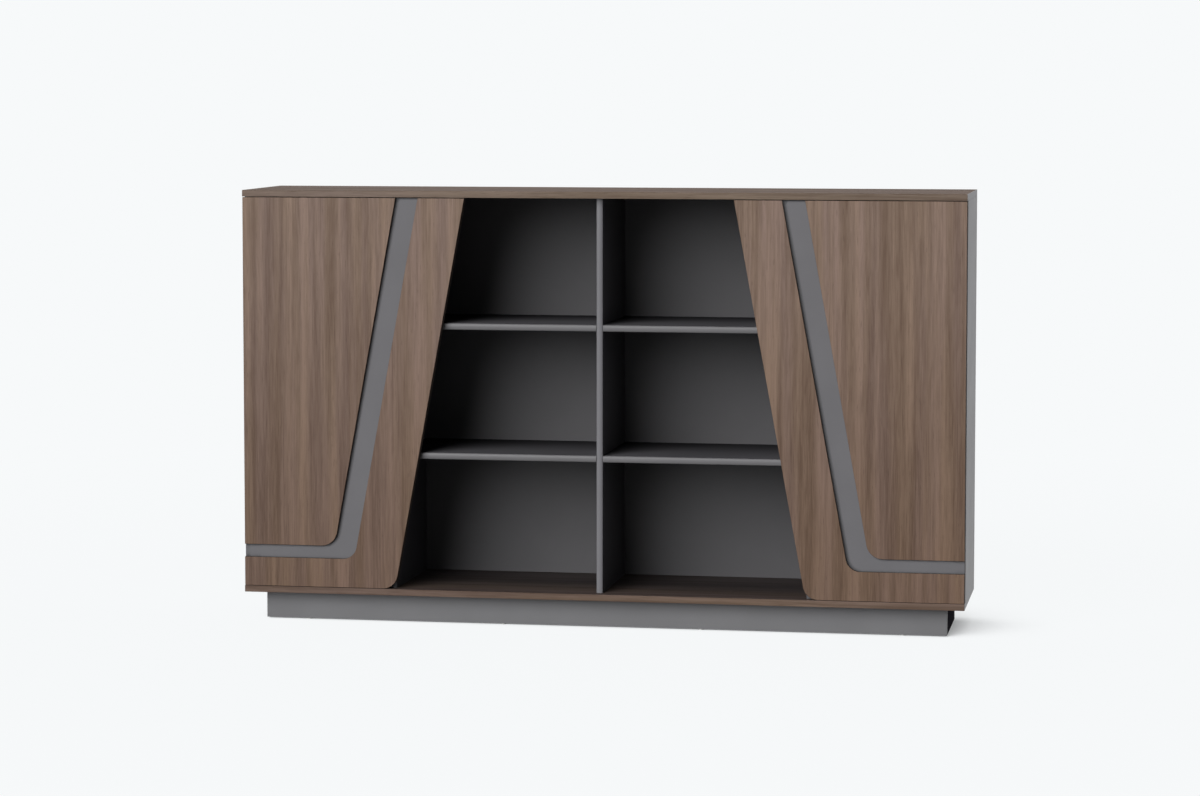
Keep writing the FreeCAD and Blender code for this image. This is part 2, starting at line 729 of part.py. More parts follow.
def arm_screw_seats(z):
    """Points on the outside of the arm where its two screws stand."""
    x = bridge_x - hinge_arm_thickness / 2
    return [Vector(x, plate_line + side * arm_screw_setting, z) for side in (-1, 1)]


def hinge_plate(z):
    """Mounting plate: a cross of plate on the side panel, and the block that the arm grips."""
    wing = hinge_plate_wing_width / 2
    wings = box(plate_top, side_face, plate_line - wing, plate_line + wing,
                z - hinge_plate_screw_spacing / 2 - wing, z + hinge_plate_screw_spacing / 2 + wing)
    corners = [edge for edge in wings.Edges if edge.BoundBox.XLength > tolerance]
    plate = wings.makeFillet(hinge_wing_rounding, corners)
    half_block = hinge_channel_width / 2 - hinge_arm_thickness - hinge_channel_play
    plate = plate.fuse(box(plate_top, side_face, plate_line - hinge_plate_length / 2,
                           plate_line + hinge_plate_length / 2, z - wing, z + wing))
    block = box(bridge_x + hinge_arm_thickness / 2, plate_top,
                door_back + hinge_plate_block_start, door_back + hinge_channel_end,
                z - half_block, z + half_block)
    plate = plate.fuse(block)
    for offset in (-hinge_plate_screw_spacing / 2, hinge_plate_screw_spacing / 2):
        seat = Vector(plate_top, plate_line, z + offset)
        plate = plate.cut(screw_hole(seat, X, plate_screw))
    for seat in arm_screw_seats(z):
        plate = plate.cut(screw_hole(seat, X, arm_screw))
    return plate.removeSplitter()


def make_bumpers():
    """Soft buttons on the back of each door, where it meets its partition."""
    thickness = upright_front - door_back - bumper_clearance
    middle = partition_face + board / 2
    for z in (door_bottom + bumper_end_distance, door_top - bumper_end_distance):
        button = rod(Vector(middle, door_back, z), Y, bumper_radius, thickness)
        top = [edge for edge in button.Edges if edge.BoundBox.YMin > door_back + tolerance]
        button = button.makeFillet(thickness / 2, top)
        add_hardware("right_door_bumpers", button)
        add_hardware("left_door_bumpers", mirrored(button))


def export(name, shape):
    if not shape.isValid():
        raise RuntimeError(name + " is not a valid shape")
    shape.exportStep("parts/" + name + ".step")
    print(name, len(shape.Solids), round(shape.Volume / 1000, 1), "cm3")


def main():
    os.makedirs("parts", exist_ok=True)
    make_top_and_bottom()
    make_uprights()
    make_backs()
    make_bay_shelves()
    make_cupboard_shelves()
    make_plinth()
    make_door_boards()
    make_hinges()
    make_bumpers()
    for name, blank in boards.items():
        tools = drillings[name]
        export(name, blank.cut(tools) if tools else blank)
    for name, solids in hardware.items():
        export(name, Part.makeCompound(solids))


main()
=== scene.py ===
"""Finishes, edge bands and a plain studio for an office credenza."""

import math

import bpy
import numpy as np
from bpy.props import FloatProperty, FloatVectorProperty, PointerProperty
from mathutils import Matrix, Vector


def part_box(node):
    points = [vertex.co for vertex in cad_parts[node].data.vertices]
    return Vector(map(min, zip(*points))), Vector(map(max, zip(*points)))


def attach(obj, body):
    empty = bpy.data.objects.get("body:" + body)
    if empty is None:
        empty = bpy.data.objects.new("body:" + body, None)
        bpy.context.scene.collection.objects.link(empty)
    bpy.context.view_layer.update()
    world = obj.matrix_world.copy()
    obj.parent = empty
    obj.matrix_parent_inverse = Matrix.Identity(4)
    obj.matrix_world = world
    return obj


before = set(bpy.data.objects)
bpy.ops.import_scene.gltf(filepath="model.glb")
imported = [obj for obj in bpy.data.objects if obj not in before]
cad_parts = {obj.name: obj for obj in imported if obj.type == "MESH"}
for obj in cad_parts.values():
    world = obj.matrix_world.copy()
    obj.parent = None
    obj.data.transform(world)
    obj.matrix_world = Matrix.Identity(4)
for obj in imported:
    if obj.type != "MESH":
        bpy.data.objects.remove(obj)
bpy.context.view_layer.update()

bl_info = {
    "name": "Office credenza",
    "version": (1, 0, 0),
    "blender": (4, 5, 0),
    "location": "View3D > Sidebar > Credenza",
    "description": "Finishes, edge bands and a plain studio for an office credenza",
    "category": "Object",
}

MM = 0.001
SIDES = (("left", -1), ("right", 1))

# The outlines of a door's boards, out from the middle of the credenza and up from the floor.
DOOR_TOP = 1180 * MM
DOOR_FOOT = 99 * MM
DOOR_OUTER = 999 * MM
FREE_EDGE_AT_TOP = 372 * MM
FREE_EDGE_AT_FOOT = 570 * MM
SURROUND_WIDTH = 130 * MM
CHANNEL_WIDTH = 63 * MM
SURROUND_BAND_TOP = 178.5 * MM
MAIN_FOOT = 214.5 * MM
FREE_CORNER_RADIUS = 42 * MM
SURROUND_CORNER_RADIUS = 40 * MM
MAIN_CORNER_RADIUS = 45 * MM

# Where the faces of a door's boards lie, from front to rear, with the slot of each board's edging.
FACING_FRONT = -200 * MM
FACING_BACK = -191 * MM
BASE_BACK = -175 * MM
DOOR_BOARDS = {
    "base": (FACING_BACK, BASE_BACK, "grey_laminate"),
    "surround": (FACING_FRONT, FACING_BACK, "walnut_laminate"),
    "main": (FACING_FRONT, FACING_BACK, "walnut_laminate"),
}

# How many steps make a round corner and the crown of a band, and the angle between two faces
# from which the edge between them is sharp.
CORNER_STEPS = 24
CROWN_STEPS = 12
SHARP_ANGLE = math.radians(35)

# How far an edging or a band is let into its board.
LET_IN = 0.5 * MM

# How far from the middle the end bands of the top and bottom panels begin.
END_BAND = 999.4 * MM

# Roughness and gloss of the side panels and of the end bands that continue them, and of the
# level walnut boards.
SIDE_MATT = 0.38
SIDE_GLOSS = 0.18
LEVEL_MATT = 0.66
LEVEL_GLOSS = 0.06

# The walnut's streaks: their changes in a metre across the grain and along it, their detail, and
# the range of their noise that is spread from 0 to 1.
STREAKS = {
    "broad": (27, 0.6, 4, 0.33, 0.67),
    "middle": (90, 2.4, 4, 0.3, 0.7),
    "fine": (330, 13, 3, 0.28, 0.72),
    "pores": (430, 30, 1, 0.64, 0.76),
    "flecks": (120, 9, 3, 0.52, 0.74),
}

# How far the walnut's grain wanders, and the tints of its slow patches.
WANDER = 9 * MM
TAN_TINT = (1.02, 1.0, 0.95)
PLUM_TINT = (1.0, 0.985, 1.03)

# Where each walnut board is cut out of the grain, in metres.
GRAIN_SHIFTS = {
    "left_main_panel": (1.2, 2.2, 3.5),
    "left_surround_panel": (1.6, 0, 7.2),
    "right_main_panel": (7.6, 8.5, 4.3),
    "right_surround_panel": (6, 0.5, 6.3),
    "top_panel": (0, 1.9, 0.4),
    "bottom_panel": (3.1, 2.6, 0.4),
}

# Painted light on the upright walnut boards: the tint of a painted shade at the foot, that of a
# painted sheen at the head, and the heights between which the first gives way.
FOOT_SHADE_TINT = (0.82, 0.785, 0.755)
HEAD_SHEEN_TINT = (1.1, 1.14, 1.2)
UPRIGHT_LIGHT_RUN = (50 * MM, 1250 * MM)

# Painted light and shade on the level walnut boards, as tints: of the upper face at the rear and
# near the front, where the bottom panel's painted shade deepens towards the rear of the bays, and
# of the other faces, each tint standing in for how light falls on its faces. All that lies above
# the height is the upper face.
LEVEL_LIGHT_TINTS = {
    "top_panel": {
        "height": 1199.6 * MM,
        "rear": (0.78, 0.81, 0.86),
        "near": (0.78, 0.81, 0.86),
        "edge": (1.01, 1.15, 1.26),
    },
    "bottom_panel": {
        "height": 97.6 * MM,
        "rear": (0.21, 0.26, 0.35),
        "near": (0.52, 0.58, 0.68),
        "edge": (0.83, 0.87, 0.92),
    },
}

# Where the painted shade on a level walnut board's upper face and the painted shade and light on a
# shelf change, from the rear to the front.
LEVEL_SHADE_RUN = (20 * MM, -200 * MM)
SHELF_SHADE_RUN = (190 * MM, -170 * MM)

# Soft shades where a spot is closed in: the side that it has to be open to, how far away a thing
# still closes it in, the range of openness that counts, and the shares of light at its ends.
# The channel's soft shade is painted shade in the colour of the doors' base boards.
CHANNEL_SHADE = {
    "side": (-0.87, -0.5, 0),
    "reach": 14 * MM,
    "openness": (0.45, 0.85),
    "shares": (0.4, 1),
}
CONTACT_SHADE = {
    "side": (-0.45, -0.6, 0.66),
    "reach": 500 * MM,
    "openness": (0.1, 0.75),
    "shares": (0.1, 0.97),
}

# The studio floor: its radius in metres, the share of it inside the first ring, the rings, the
# points in each, and the distances over which the floor melts into the backdrop.
FLOOR_RADIUS = 9.0
FLOOR_HUB = 0.05
FLOOR_RINGS = 24
FLOOR_SPOKES = 96
FLOOR_FADE = (1.2, 4.5)

# How far to the rear a direction points where the soft light begins to change, and where it ends.
SOFT_LIGHT_RUN = (-0.08, 0.2)

# The camera: lens and sensor in millimetres, the lens's shift as a share of the picture, its
# place in metres, and its pitch down and turn to the left in degrees.
CAMERA_LENS = 100.503
CAMERA_SENSOR = 36
CAMERA_SHIFT = -0.06
CAMERA_PLACE = (1.5817, -9.1554, 1.4999)
CAMERA_PITCH = 4.179
CAMERA_TURN = 9.981


def paint(red, green, blue):
    """Linear colour of a paint that is given by its display values, 0 to 255."""
    shares = np.array((red, green, blue)) / 255
    curved = ((shares + 0.055) / 1.055) ** 2.4
    return tuple(np.where(shares <= 0.04045, shares / 12.92, curved).tolist())


def scaled(colour, share):
    """A colour made darker or paler by a share, with no value over 1."""
    return tuple(min(1, value * share) for value in colour)


def opaque(colour):
    """A colour as a socket takes it: a link as it is, three values with a 1 for opacity."""
    return colour if isinstance(colour, Socket) else (*colour, 1)


def colour_property(name, description, display):
    """A colour that the sidebar can change, given by its display values."""
    settings = {"default": paint(*display), "subtype": "COLOR", "size": 3, "min": 0, "max": 1}
    return FloatVectorProperty(name=name, description=description, **settings)


def length_property(name, description, millimetres):
    """A length that the sidebar can change, given in millimetres."""
    settings = {"default": millimetres * MM, "min": 0, "unit": "LENGTH"}
    return FloatProperty(name=name, description=description, **settings)


def angle_property(name, description, degrees):
    """An angle that the sidebar can change, given in degrees."""
    settings = {"default": math.radians(degrees), "min": 0, "subtype": "ANGLE"}
    return FloatProperty(name=name, description=description, **settings)


def strength_property(name, description, strength):
    """A strength of light that the sidebar can change."""
    return FloatProperty(name=name, description=description, default=strength, min=0)


class CredenzaSizes(bpy.types.PropertyGroup):
    """Sizes of the edgings and the edge bands."""

    edging_relief: length_property("Edging relief", "How far an edging stands out", 0.2)
    edging_margin: length_property("Edging margin", "Bare width at both sides of an edging", 0.8)
    band_crown: length_property("Band crown", "How far a band stands out in its middle", 3.2)
    band_base: length_property("Band base", "How far a band stands out along its sides", 0.1)
    band_margin: length_property("Band margin", "Bare width at both sides of a band", 0.3)


class CredenzaColours(bpy.types.PropertyGroup):
    """Colours of the boards, the bands and the fittings."""

    walnut_pale: colour_property("Walnut, pale", "Palest streaks of the walnut", (134, 112, 97))
    walnut_middle: colour_property("Walnut, middle", "Body of the walnut", (117, 97, 83))
    walnut_dark: colour_property("Walnut, dark", "Darkest streaks of the walnut", (97, 77, 64))
    walnut_pore: colour_property("Walnut pores", "Short dark pores of the walnut", (76, 60, 51))
    # Partly painted shade: the edging's dark tone stands in for the shade on the door boards'
    # edges.
    edging: colour_property("Edging", "Edging round the boards of the doors", (60, 52, 47))
    grey: colour_property("Grey laminate", "Base boards of the doors", (105, 104, 107))
    side: colour_property("Side laminate", "Side panels and end bands", (119, 115, 118))
    # Painted shade: the divider's and partitions' grey is darker than the door boards' grey,
    # standing in for the shade in the bays.
    upright: colour_property("Upright laminate", "Divider and partitions", (74, 73, 76))
    # Painted shade: the shelves' grey is darker, standing in for the shade in the bays.
    shelf: colour_property("Shelf laminate", "Shelves in the bays and cupboards", (78, 77, 80))
    shelf_band: colour_property("Shelf band", "Edge bands of the open shelves", (109, 108, 110))
    divider_band: colour_property("Divider band", "Edge band of the divider", (116, 115, 119))
    # Painted shade: darker than the divider's band, standing in for the shade behind the doors'
    # free corners.
    shaded_partition_band: colour_property("Partition band", "Edge bands of the partitions", (86, 85, 88))
    # Painted shade: the back boards' grey is darker, standing in for the shade in the bays.
    back: colour_property("Back board", "Back panels", (79, 78, 80))
    plinth: colour_property("Plinth laminate", "Long rails and braces", (115, 115, 117))
    # Painted shade: the end rails are dark, standing in for the shadow under the overhang.
    shaded_plinth_end: colour_property("Plinth ends", "End rails, under the overhang", (62, 60, 66))
    beech: colour_property("Beech", "Dowels", (196, 160, 118))
    zinc: colour_property("Zinc", "Cams, brackets, shelf supports and screws", (176, 178, 182))
    nickel: colour_property("Nickel", "Hinges", (190, 186, 178))
    plastic: colour_property("Glide plastic", "Glides under the plinth", (208, 208, 205))
    rubber: colour_property("Bumper rubber", "Soft stops on the doors", (205, 205, 200))


class CredenzaStudio(bpy.types.PropertyGroup):
    """Lamp, soft light, floor and backdrop."""

    key_strength: strength_property("Key lamp", "Strength of the large far lamp", 3.1)
    key_spread: angle_property("Key spread", "How wide the lamp looks from the credenza", 46)
    key_turn: angle_property("Key turn", "How far the lamp stands to the left", 25)
    key_rise: angle_property("Key rise", "How high the lamp stands", 21.5)
    front_light: strength_property("Front light", "Soft light from the front", 0.0)
    rear_light: strength_property("Rear light", "Soft light from the rear", 0.8)
    floor_bounce: FloatProperty(
        name="Floor bounce",
        description="Share of its light that the floor sends back up",
        default=0.2,
        min=0,
        max=1,
    )
    backdrop: colour_property("Backdrop", "Colour behind the credenza", (247, 249, 250))


class Socket:
    """An output of a node, so that shader maths reads as a sum or a product."""

    def __init__(self, finish, output):
        self.finish = finish
        self.output = output

    def maths(self, operation, *values):
        """A maths node over values and links."""
        return self.finish.node("ShaderNodeMath", {"operation": operation}, dict(enumerate(values)))

    def __add__(self, other):
        return self.maths("ADD", self, other)

    def __radd__(self, other):
        return self.maths("ADD", other, self)

    def __sub__(self, other):
        return self.maths("SUBTRACT", self, other)

    def __rsub__(self, other):
        return self.maths("SUBTRACT", other, self)

    def __mul__(self, other):
        return self.maths("MULTIPLY", self, other)

    def __rmul__(self, other):
        return self.maths("MULTIPLY", other, self)

    def __gt__(self, other):
        return self.maths("GREATER_THAN", self, other)

    def __abs__(self):
        return self.maths("ABSOLUTE", self)


class Finish:
    """The nodes of a material or a world."""

    def __init__(self, owner):
        owner.use_nodes = True
        self.owner = owner
        self.tree = owner.node_tree
        self.tree.nodes.clear()

    def node(self, kind, settings=None, inputs=None, output=0):
        """Adds a node: first its settings, then the values or links of its sockets."""
        made = self.tree.nodes.new(kind)
        for name, value in (settings or {}).items():
            if name == "stops":
                self.set_stops(made.color_ramp, value)
            else:
                setattr(made, name, value)
        for name, value in (inputs or {}).items():
            if isinstance(value, Socket):
                self.tree.links.new(value.output, made.inputs[name])
            else:
                made.inputs[name].default_value = value
        return Socket(self, made.outputs[output])

    def set_stops(self, ramp, stops):
        """Gives a colour ramp its stops, each a position and a colour."""
        while len(ramp.elements) < len(stops):
            ramp.elements.new(1)
        for element, (position, colour) in zip(ramp.elements, stops):
            element.position = position
            element.color = (*colour, 1)

    def place(self, shift=(0, 0, 0)):
        """X, Y and Z of the surface in metres, moved by a shift so that no two boards match."""
        place = self.node("ShaderNodeTexCoord", output="Object")
        moved = self.node("ShaderNodeMapping", {}, {"Vector": place, "Location": shift})
        return [self.node("ShaderNodeSeparateXYZ", {}, {0: moved}, axis) for axis in "XYZ"]

    def noise(self, x, y, z, detail=2, roughness=0.5):
        """Noise around a half, over a place that is already scaled."""
        place = self.node("ShaderNodeCombineXYZ", {}, {0: x, 1: y, 2: z})
        sockets = {"Vector": place, "Scale": 1, "Detail": detail, "Roughness": roughness}
        return self.node("ShaderNodeTexNoise", {}, sockets, "Fac")

    def spread(self, value, low, high, to_low=0, to_high=1):
        """A value carried from one range to another, smooth at both ends and held outside."""
        ends = {"From Min": low, "From Max": high, "To Min": to_low, "To Max": to_high}
        settings = {"interpolation_type": "SMOOTHSTEP"}
        return self.node("ShaderNodeMapRange", settings, {"Value": value, **ends})

    def mix(self, share, first, second):
        """The first colour turning into the second as the share goes from 0 to 1."""
        settings = {"data_type": "RGBA", "blend_type": "MIX"}
        sockets = {0: share, 6: opaque(first), 7: opaque(second)}
        return self.node("ShaderNodeMix", settings, sockets, 2)

    def tinted(self, colour, tint):
        """A colour multiplied by a tint."""
        settings = {"data_type": "RGBA", "blend_type": "MULTIPLY"}
        return self.node("ShaderNodeMix", settings, {0: 1, 6: colour, 7: tint}, 2)

    def relief(self, height, depth):
        """The surface normal over a height from 0 to 1, with its depth in metres."""
        return self.node("ShaderNodeBump", {}, {"Strength": 1, "Distance": depth, "Height": height})

    def light_share(self, side, shade):
        """Share of light that a spot keeps, from how open it is to one side."""
        sockets = {"Distance": shade["reach"], "Normal": side}
        openness = self.node("ShaderNodeAmbientOcclusion", {}, sockets, "AO")
        return self.spread(openness, *shade["openness"], *shade["shares"])

    def looked_at(self):
        """1 for rays that a viewer sees directly, in a reflection or through glass, else 0."""
        kinds = ("Camera", "Glossy", "Transmission")
        rays = [self.node("ShaderNodeLightPath", output=f"Is {kind} Ray") for kind in kinds]
        return rays[0] + rays[1] + rays[2] > 0.5

    def skin(self, colour, **sockets):
        """A surface shader; a socket's name is given with an underscore for each space."""
        inputs = {"Base Color": opaque(colour)}
        inputs.update({name.replace("_", " "): value for name, value in sockets.items()})
        return self.node("ShaderNodeBsdfPrincipled", {}, inputs)

    def surface(self, colour, **sockets):
        """The finished material with one surface shader all over."""
        return self.close(self.skin(colour, **sockets))

    def close(self, shader, kind="ShaderNodeOutputMaterial"):
        """Joins a shader to the output, and gives back the finished material or world."""
        end = self.tree.nodes.new(kind)
        self.tree.links.new(shader.output, end.inputs["Surface"])
        return self.owner


def walnut(finish, colours, along, shift, tint, matt=0.5, gloss=0.18):
    """Surface shader of walnut-look laminate with straight grain along one axis.

    Broad, middle and fine streaks are noise that is stretched along the grain and wanders a
    little across it. Short flecks and shorter pores darken it, and slow patches turn it towards
    plum or tan.
    """
    x, y, z = finish.place(shift)
    first, second, length = (x, y, z) if along == "Z" else (y, z, x)
    wander = finish.noise(first * 6, second * 6, length * 3.5) * WANDER
    first, second = first + wander, second + wander

    def streaks(across, lengthwise, detail, low, high):
        place = (first * across, second * across, length * lengthwise)
        return finish.spread(finish.noise(*place, detail, roughness=0.55), low, high)

    broad, middle, fine, pores, flecks = (streaks(*numbers) for numbers in STREAKS.values())
    tone = broad * 0.47 + middle * 0.29 + fine * 0.24 - flecks * 0.15 + 0.03
    stops = [(0.14, colours.walnut_dark), (0.5, colours.walnut_middle), (0.86, colours.walnut_pale)]
    colour = finish.node("ShaderNodeValToRGB", {"stops": stops}, {"Fac": tone})
    patch = finish.spread(finish.noise(first * 21, second * 21, length * 0.9), 0.35, 0.65)
    colour = finish.tinted(colour, finish.mix(patch, TAN_TINT, PLUM_TINT))
    colour = finish.mix(pores * 0.35, colour, colours.walnut_pore)
    return finish.skin(
        finish.tinted(colour, tint),
        Roughness=matt - 0.06 * fine + 0.08 * pores,
        Normal=finish.relief(fine * 0.6 + (1 - pores) * 0.4, 0.06 * MM),
        Specular_IOR_Level=gloss,
    )


def upright_walnut(colours, name, shift):
    """Walnut of an upright board, with painted light on it: a painted shade makes it a little
    deeper and browner towards the foot, and a painted sheen paler and greyer towards the head.
    """
    finish = Finish(bpy.data.materials.new(name))
    _, _, true_z = finish.place()
    # The tint is painted light: painted shade at the foot, painted sheen at the head.
    tint = finish.mix(finish.spread(true_z, *UPRIGHT_LIGHT_RUN), FOOT_SHADE_TINT, HEAD_SHEEN_TINT)
    return finish.close(walnut(finish, colours, "Z", shift, tint))


def level_walnut(colours, name, shift, tints):
    """Walnut of a level board, with painted light and shade. Its upper face has a tint at the rear
    that turns into another near the front, its other faces have a third, each tint standing in for
    how light falls on those faces, and its ends are like the side panels."""
    finish = Finish(bpy.data.materials.new(name))
    true_x, true_y, true_z = finish.place()
    # Painted light and shade: the upper face's tints, darker towards the rear where they differ,
    # and the other faces' tint.
    upper = finish.mix(finish.spread(true_y, *LEVEL_SHADE_RUN), tints["rear"], tints["near"])
    tint = finish.mix(true_z > tints["height"], tints["edge"], upper)
    board = walnut(finish, colours, "X", shift, tint, LEVEL_MATT, LEVEL_GLOSS)
    end = finish.skin(colours.side, Roughness=SIDE_MATT, Specular_IOR_Level=SIDE_GLOSS)
    sockets = {0: abs(true_x) > END_BAND, 1: board, 2: end}
    return finish.close(finish.node("ShaderNodeMixShader", {}, sockets))


def laminate(
    name,
    colour,
    shift=(0, 0, 0),
    roughness=0.5,
    gloss=0.24,
    mottle=0.05,
    shade_rear_to_front=None,
    channelled=False,
):
    """Plain laminate: a fine pebbled relief, and a faint cloudiness in its colour.

    A pair of shares, where it is given, is what is left of the colour at the rear and at the front:
    a painted shade towards the rear and a painted light towards the front. A channelled board has a
    painted shade in its channel, close beside the wall to the left, where it is darker.
    """
    finish = Finish(bpy.data.materials.new(name))
    x, y, z = finish.place(shift)
    cloud = finish.noise(x * 7, y * 7, z * 7, 3)
    speck = finish.noise(x * 1400, y * 1400, z * 1400)
    share = finish.spread(cloud * 0.6 + speck * 0.4, 0.35, 0.65)
    tone = finish.mix(share, scaled(colour, 1 - mottle), scaled(colour, 1 + mottle))
    if shade_rear_to_front:
        # Painted shade towards the rear and painted light towards the front.
        _, true_y, _ = finish.place()
        ends = [(share_there,) * 3 for share_there in shade_rear_to_front]
        tone = finish.tinted(tone, finish.mix(finish.spread(true_y, *SHELF_SHADE_RUN), *ends))
    if channelled:
        # Painted shade in the channel beside its left wall.
        tone = finish.tinted(tone, channel_shade(finish))
    return finish.surface(
        tone,
        Roughness=roughness - 0.05 + 0.1 * cloud,
        Normal=finish.relief(speck, 0.04 * MM),
        Specular_IOR_Level=gloss,
    )


def channel_shade(finish):
    """Share of light painted into the colour of a door's base board: a painted shade on the floor
    of the channel where the spot is closed in to the left, and all of it elsewhere. The side turns
    with the door."""
    _, true_y, _ = finish.place()
    settings = {"vector_type": "VECTOR", "convert_from": "OBJECT", "convert_to": "WORLD"}
    sockets = {"Vector": CHANNEL_SHADE["side"]}
    leftward = finish.node("ShaderNodeVectorTransform", settings, sockets)
    light = finish.light_share(leftward, CHANNEL_SHADE)
    on_floor = abs(true_y) > -FACING_BACK - LET_IN
    return 1 - on_floor * (1 - light)


def edging(name, colour):
    """Edge tape, matt, with faint lines along it, in one dark tone that is partly the tape's own
    colour and partly painted shade on the edges of the door boards.
    """
    finish = Finish(bpy.data.materials.new(name))
    x, y, z = finish.place()
    lines = finish.spread(finish.noise(x * 500, y * 500, z * 12), 0.3, 0.7)
    return finish.surface(
        finish.mix(lines, scaled(colour, 0.75), colour),
        Roughness=0.62 + 0.08 * lines,
        Normal=finish.relief(lines, 0.03 * MM),
        Specular_IOR_Level=0.12,
    )


def plated_metal(name, colour, roughness):
    """Plated metal: fine brush lines and a slow change of gloss."""
    finish = Finish(bpy.data.materials.new(name))
    x, y, z = finish.place()
    lines = finish.noise(x * 2600, y * 400, z * 400)
    cloud = finish.noise(x * 90, y * 90, z * 90)
    return finish.surface(
        finish.mix(cloud, scaled(colour, 0.86), colour),
        Metallic=1.0,
        Roughness=roughness + 0.12 * (lines - 0.5) + 0.08 * cloud,
        Normal=finish.relief(lines, 0.01 * MM),
    )


def beech(name, colour):
    """Turned beech: pale, with short dark flecks along its length."""
    finish = Finish(bpy.data.materials.new(name))
    x, y, z = finish.place()
    bands = finish.noise(x * 130, y * 900, z * 900, 3)
    flecks = finish.spread(finish.noise(x * 420, y * 2400, z * 2400, 1), 0.62, 0.7)
    tone = finish.mix(bands, scaled(colour, 0.72), colour)
    return finish.surface(
        finish.mix(flecks * 0.6, tone, scaled(colour, 0.45)),
        Roughness=0.6 + 0.1 * bands,
        Normal=finish.relief(bands, 0.08 * MM),
    )


def moulded(name, colour, roughness):
    """Moulded plastic or rubber with a fine pebbled skin."""
    finish = Finish(bpy.data.materials.new(name))
    x, y, z = finish.place()
    pebbles = finish.noise(x * 3000, y * 3000, z * 3000)
    return finish.surface(
        finish.mix(pebbles, scaled(colour, 0.85), colour),
        Roughness=roughness + 0.12 * (pebbles - 0.5),
        Normal=finish.relief(pebbles, 0.03 * MM),
    )


def give(material, *nodes):
    """Puts a material into every slot of the CAD nodes."""
    for node in nodes:
        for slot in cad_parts[node].material_slots:
            slot.material = material


def both_sides(*names):
    """Left and right names of nodes that come in pairs."""
    return [f"{side}_{name}" for side, _ in SIDES for name in names]


def rounded_path(corners, radii):
    """Points and outward normals along straight runs with round corners, as two arrays.

    Each corner is a circle that touches both of its runs: its centre lies inside by the radius,
    on the line that halves the corner, and its points follow the angle from one run's normal to
    the other's. The normal is the run's direction turned a quarter turn clockwise, and it points
    away from the board. A corner of no radius has one point, with its normal mitred.
    """
    corners = np.array(corners, float)
    runs = np.diff(corners, axis=0)
    runs /= np.linalg.norm(runs, axis=1)[:, None]
    normals = np.stack([runs[:, 1], -runs[:, 0]], axis=1)
    points, outward = [corners[:1]], [normals[:1]]
    for corner, radius, before, after in zip(corners[1:-1], radii, normals[:-1], normals[1:]):
        halfway = (before + after) / (1 + before @ after)
        if radius == 0:
            points.append(corner[None])
            outward.append(halfway[None])
            continue
        turn = math.atan2(before[0] * after[1] - before[1] * after[0], before @ after)
        angles = math.atan2(before[1], before[0]) + np.linspace(0, turn, CORNER_STEPS + 1)
        around = np.stack([np.cos(angles), np.sin(angles)], axis=1)
        bulge = math.copysign(radius, turn)
        points.append(corner - halfway * bulge + around * bulge)
        outward.append(around)
    points.append(corners[-1:])
    outward.append(normals[-1:])
    return np.concatenate(points), np.concatenate(outward)


def standing(pairs, sign):
    """Pairs of out and up as points or directions in space, to the left for a sign of -1."""
    return np.stack([pairs[:, 0] * sign, np.zeros(len(pairs)), pairs[:, 1]], axis=1)


def carried(points, sideways, forward, profile):
    """Grid of points of a profile that is carried along a path.

    Each point is the path's point, plus the profile's first value times the sideways direction
    there, plus its second value times the forward direction.
    """
    profile = np.array(profile, float)
    across = profile[None, :, 0, None] * sideways[:, None, :]
    ahead = profile[None, :, 1, None] * forward[:, None, :]
    return points[:, None, :] + across + ahead


def piece_from_grid(name, grid, material, body, ring=False):
    """A closed piece from a grid whose rows are equal closed loops. A ring joins its last row to
    its first; any other piece has a cap on each end."""
    index = np.arange(grid.shape[0] * grid.shape[1]).reshape(grid.shape[:2])
    ahead = np.roll(index, -1, axis=1)
    skin = np.stack([index, ahead, np.roll(ahead, -1, axis=0), np.roll(index, -1, axis=0)], axis=-1)
    caps = [] if ring else [index[0, ::-1], index[-1]]
    skin = (skin if ring else skin[:-1]).reshape(-1, 4)
    vertices = grid.reshape(-1, 3)
    if signed_volume(vertices, skin, caps) < 0:
        skin, caps = skin[:, ::-1], [cap[::-1] for cap in caps]
    mesh = bpy.data.meshes.new(name)
    mesh.from_pydata(vertices.tolist(), [], [*skin.tolist(), *(cap.tolist() for cap in caps)])
    mesh.update()
    mesh.shade_smooth()
    mesh.set_sharp_from_angle(angle=SHARP_ANGLE)
    mesh.materials.append(material)
    piece = bpy.data.objects.new(name, mesh)
    bpy.context.scene.collection.objects.link(piece)
    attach(piece, body)


def signed_volume(vertices, skin, caps):
    """Volume inside the skin and the caps, negative where they face inwards: the sum of the
    wedges that their triangles make with the origin, each a sixth of its triple product."""
    fans = [skin[:, [0, 1, 2]], skin[:, [0, 2, 3]]]
    fans += [np.stack([np.full(len(cap) - 2, cap[0]), cap[1:-1], cap[2:]], axis=1) for cap in caps]
    first, second, third = (vertices[corner] for corner in np.concatenate(fans).T)
    return float((first * np.cross(second, third)).sum() / 6)


def edging_profile(sizes, front, back):
    """Section of an edging: out from its board's edge, and the place between front and back.
    Its outer face is chamfered at both sides by as much as it stands out."""
    relief, near, far = sizes.edging_relief, front + sizes.edging_margin, back - sizes.edging_margin
    outer = [(0, near), (relief, near + relief), (relief, far - relief), (0, far)]
    return [(-LET_IN, near), *outer, (-LET_IN, far)]


def band_profile(sizes, width):
    """Section of an edge band: across its board, and forward of it. Its front is half of an
    ellipse on a low base: the place across follows the sine of an angle, and the height its
    cosine."""
    half = width / 2 - sizes.band_margin
    angle = np.linspace(-math.pi / 2, math.pi / 2, CROWN_STEPS + 1)
    crown = sizes.band_crown - sizes.band_base
    front = np.stack([half * np.sin(angle), sizes.band_base + crown * np.cos(angle)], axis=1)
    return [(-half, -LET_IN), *front.tolist(), (half, -LET_IN)]


